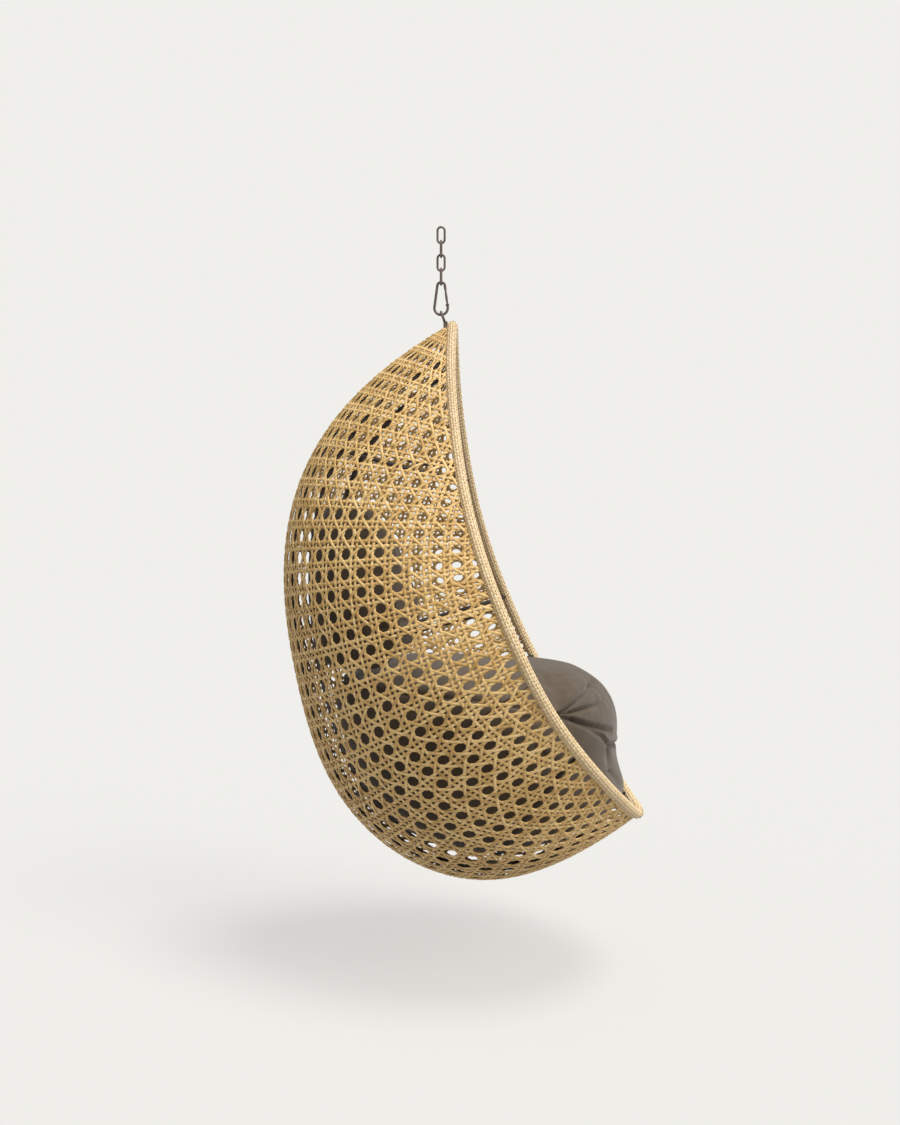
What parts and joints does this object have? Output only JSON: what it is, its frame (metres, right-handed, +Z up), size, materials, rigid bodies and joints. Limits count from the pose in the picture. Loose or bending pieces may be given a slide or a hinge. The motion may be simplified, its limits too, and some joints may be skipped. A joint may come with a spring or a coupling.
{
  "type": "hanging egg chair",
  "caption": "Egg-shaped woven chair with an open front and deep cushions, hung from one overhead hook by a short chain and a carabiner that can be unclipped.",
  "frame": {"origin": "inside top of the first chain link, where a ceiling hook bears", "axes": "+Z up, the chair faces -Y, +X to the chair's left-hand side seen from the front"},
  "size_m": [0.773, 0.795, 1.4505],
  "materials": {
    "chain_metal": "satin",
    "frame_metal": "satin",
    "wicker": "satin",
    "binding": "satin",
    "cushion_fabric": "matte"
  },
  "bodies": {
    "link_1": {"chain_link_1": "chain_metal"},
    "link_2": {"chain_link_2": "chain_metal"},
    "link_3": {"chain_link_3": "chain_metal"},
    "link_4": {"chain_link_4": "chain_metal"},
    "hook": {"carabiner_body": "chain_metal", "gate_rivet": "chain_metal"},
    "gate": {"carabiner_gate": "chain_metal", "gate_spring": "chain_metal"},
    "chair": {"hanging_eye": "chain_metal", "apex_gusset": "frame_metal", "tip_sleeve": "frame_metal", "rim_tube_left": "frame_metal", "rim_tube_right": "frame_metal", "rim_wrap_left": "binding", "rim_wrap_right": "binding", "spine_tube": "frame_metal", "rib_left": "frame_metal", "rib_right": "frame_metal", "hoop_upper": "frame_metal", "hoop_middle": "frame_metal", "hoop_seat": "frame_metal", "hoop_lower": "frame_metal", "woven_shell": "wicker", "seat_cushion": "cushion_fabric", "back_cushion": "cushion_fabric"}
  },
  "joints": [
    {"name": "link_2_twist", "type": "hinge", "parent": "link_1", "child": "link_2", "pos_m": [0, 0, -0.0335], "axis": [0, 0, 1], "range_deg": [-20, 20]},
    {"name": "link_3_swing", "type": "hinge", "parent": "link_2", "child": "link_3", "pos_m": [0, 0, -0.0645], "axis": [1, 0, 0], "range_deg": [-25, 25]},
    {"name": "link_4_swing", "type": "hinge", "parent": "link_3", "child": "link_4", "pos_m": [0, 0, -0.0955], "axis": [0, 1, 0], "range_deg": [-25, 25]},
    {"name": "hook_swing", "type": "hinge", "parent": "link_4", "child": "hook", "pos_m": [0, 0, -0.1265], "axis": [1, 0, 0], "range_deg": [-25, 25]},
    {"name": "chair_swing", "type": "hinge", "parent": "hook", "child": "chair", "pos_m": [0, 0, -0.194], "axis": [0, 1, 0], "range_deg": [-20, 20]},
    {"name": "gate_open", "type": "hinge", "parent": "hook", "child": "gate", "pos_m": [0, -0.01026, -0.14226], "axis": [1, 0, 0], "range_deg": [0, 28], "stiffness_Nm_per_rad": 0.05, "springref_deg": -17.19}
  ]
}
